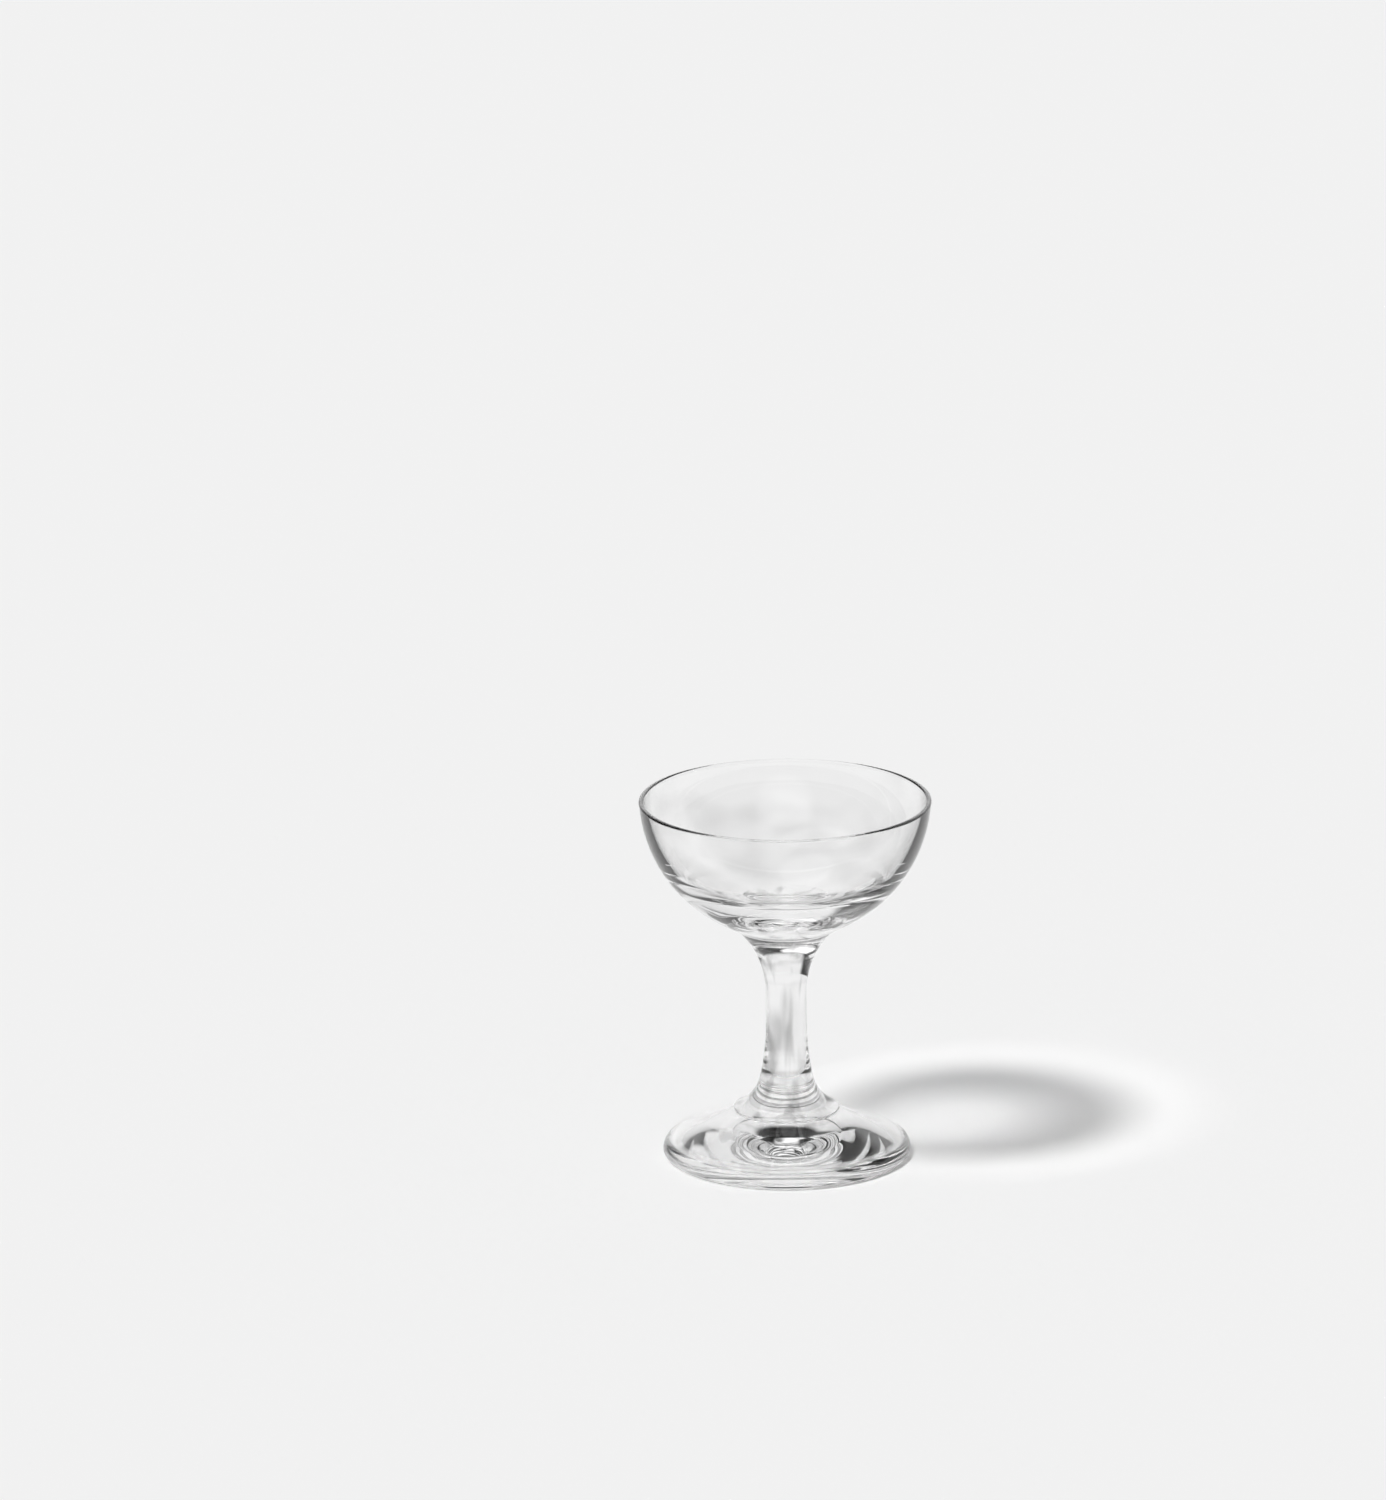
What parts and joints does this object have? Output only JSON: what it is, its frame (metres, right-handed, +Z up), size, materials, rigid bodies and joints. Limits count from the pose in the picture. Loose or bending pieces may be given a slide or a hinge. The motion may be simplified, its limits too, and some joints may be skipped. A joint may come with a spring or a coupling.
{
  "type": "liqueur glass",
  "caption": "Small clear stemmed glass: round open bowl with thick base, waisted solid stem and conical foot, fused together, for sipping liqueurs.",
  "frame": {"origin": "centre of the foot's underside, on the surface that the glass stands on", "axes": "+Z up along the axis of the stem towards the open bowl; the glass is a solid of revolution about Z"},
  "size_m": [0.0682, 0.0682, 0.0864],
  "materials": {
    "clear_glass": "fire-polished clear soda-lime glass"
  },
  "bodies": {
    "root": {"bowl": "clear_glass", "stem": "clear_glass", "foot": "clear_glass"}
  },
  "joints": []
}
